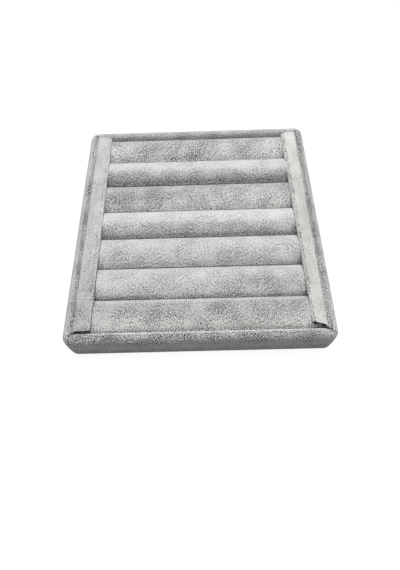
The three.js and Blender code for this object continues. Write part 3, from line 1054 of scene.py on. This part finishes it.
def makeLiner():
    # a profile of insets and heights, from the middle of the underside round the edge to that of the top
    low, high = boxMm("underside_liner")
    inset, edge, lap, hemEnd = (liner[key] for key in ("insetMm", "edgeMm", "lapMm", "stepMm"))
    thick = high[2] - low[2]
    steps = np.linspace(liner["reachMm"], inset + edge, int((liner["reachMm"] - inset) / liner["spacingMm"]))
    profile = np.concatenate([
        np.stack([steps, 0 * steps], 1),
        arcPoints((inset + edge, edge), (-edge, edge), -90, 0, liner["edgeSteps"])[1:],
        arcPoints((inset + edge, lap - edge), (-edge, edge), 0, 90, liner["edgeSteps"]),
        [[hemEnd, lap], [hemEnd + liner["slopeMm"], thick]],
        np.stack([steps, 0 * steps + thick], 1)[::-1][steps[::-1] > hemEnd + liner["levelMm"]],
    ])
    plan = rimPlaces(rimPath(liner["spacingMm"]), profile[:, 0]).swapaxes(0, 1)
    places = np.concatenate([plan, np.broadcast_to(profile[:, 1, None], plan.shape[:2])[..., None]], 2)
    across, along = plan[..., 0] / liner["reliefLengthMm"], plan[..., 1] / liner["reliefLengthMm"]
    uneven = 1 + rumple(across, along, liner["seed"])
    places[..., 2] += low[2] + liner["reliefMm"] * uneven * (profile[:, 1, None] < lap / 2)
    piece = addPiece(gridMesh("undersideLiner", places), feltMaterial(), "underside_liner")


makeLiner()
print("liner made")


# Camera, light and floor
photo = {
    "heightPx": 570,
    "focalPx": 392.5,
    "placeMm": (3.75, -175.8, 261.1),
    "downDeg": 63.06,
    "turnDeg": -1.40,
    "rollDeg": -2.72,
    "sensorMm": 36,
}


def addCamera():
    down, turn, tip = (math.radians(photo[k]) for k in ("downDeg", "turnDeg", "rollDeg"))
    ahead = np.array([math.sin(turn) * math.cos(down), math.cos(turn) * math.cos(down), -math.sin(down)])
    right = np.array([math.cos(turn), -math.sin(turn), 0])
    up = np.cross(right, ahead)
    across = math.cos(tip) * right + math.sin(tip) * up
    above = math.cos(tip) * up - math.sin(tip) * right
    lens = bpy.data.cameras.new("camera")
    lens.sensor_width = photo["sensorMm"]
    lens.lens = photo["focalPx"] / photo["heightPx"] * photo["sensorMm"]
    lens.clip_start, lens.clip_end = 0.01, 20
    camera = bpy.data.objects.new("camera", lens)
    turned = Matrix(np.stack([across, above, -ahead], 1).tolist()).to_4x4()
    camera.matrix_world = Matrix.Translation([p * mm for p in photo["placeMm"]]) @ turned
    bpy.context.scene.collection.objects.link(camera)
    bpy.context.scene.camera = camera


def seenDirectly(tree):
    # 1 for what the camera sees, also by way of a mirror or glass, and 0 for light that falls on the object
    rays = addNode(tree, "LightPath")
    seen = addNode(tree, "Math", {"operation": "MAXIMUM"},
                   {0: rays.outputs["Is Camera Ray"], 1: rays.outputs["Is Glossy Ray"]})
    return addNode(tree, "Math", {"operation": "MAXIMUM"}, {0: seen, 1: rays.outputs["Is Transmission Ray"]})


light = {
    "keyWatts": 12.7,
    "keySizeMm": 900,
    "keyPlaceMm": (150, 360, 1120),
    "roomStrength": 0.33,
    "roomHex": "#FFFFFF",
}


def addLight():
    # one large lamp above and behind the tray, in a room that is dimmer than the white the camera sees
    lamp = bpy.data.lights.new("softbox", "AREA")
    lamp.energy = light["keyWatts"]
    lamp.size = light["keySizeMm"] * mm
    box = bpy.data.objects.new("softbox", lamp)
    box.location = Vector(light["keyPlaceMm"]) * mm
    box.rotation_euler = (-box.location).to_track_quat("-Z", "Y").to_euler()
    bpy.context.scene.collection.objects.link(box)
    world = bpy.data.worlds.new("studio")
    bpy.context.scene.world = world
    world.use_nodes = True
    tree = world.node_tree
    tree.nodes.clear()
    room = addNode(tree, "Background", {"Color": linear(light["roomHex"]), "Strength": light["roomStrength"]})
    white = addNode(tree, "Background", {"Color": (1, 1, 1, 1), "Strength": 1})
    both = addNode(tree, "MixShader", links={0: seenDirectly(tree), 1: room, 2: white})
    addNode(tree, "OutputWorld", links={"Surface": both})


floor = {"sizeMm": 6000, "seenHex": "#7C7C7B", "glow": 0.91, "lightingHex": "#8C8C86"}


def addFloor():
    # white to the camera with a faint shadow, grey to the light that it throws back
    made, tree = newMaterial("whitePaper")
    paper = addNode(tree, "BsdfDiffuse", {"Color": linear(floor["seenHex"])})
    glow = addNode(tree, "Emission", {"Color": (1, 1, 1, 1), "Strength": floor["glow"]})
    bright = addNode(tree, "AddShader", links={0: paper, 1: glow})
    grey = addNode(tree, "BsdfDiffuse", {"Color": linear(floor["lightingHex"])})
    both = addNode(tree, "MixShader", links={0: seenDirectly(tree), 1: grey, 2: bright})
    addNode(tree, "OutputMaterial", links={"Surface": both})
    mesh = bpy.data.meshes.new("floor")
    half = floor["sizeMm"] / 2 * mm
    corners = [(-half, -half, 0), (half, -half, 0), (half, half, 0), (-half, half, 0)]
    mesh.from_pydata(corners, [], [(0, 1, 2, 3)])
    mesh.materials.append(made)
    paperSheet = bpy.data.objects.new("floor", mesh)
    bpy.context.scene.collection.objects.link(paperSheet)


addCamera()
addLight()
addFloor()
bpy.context.scene.view_settings.view_transform = "Standard"
print("camera, light and floor made")
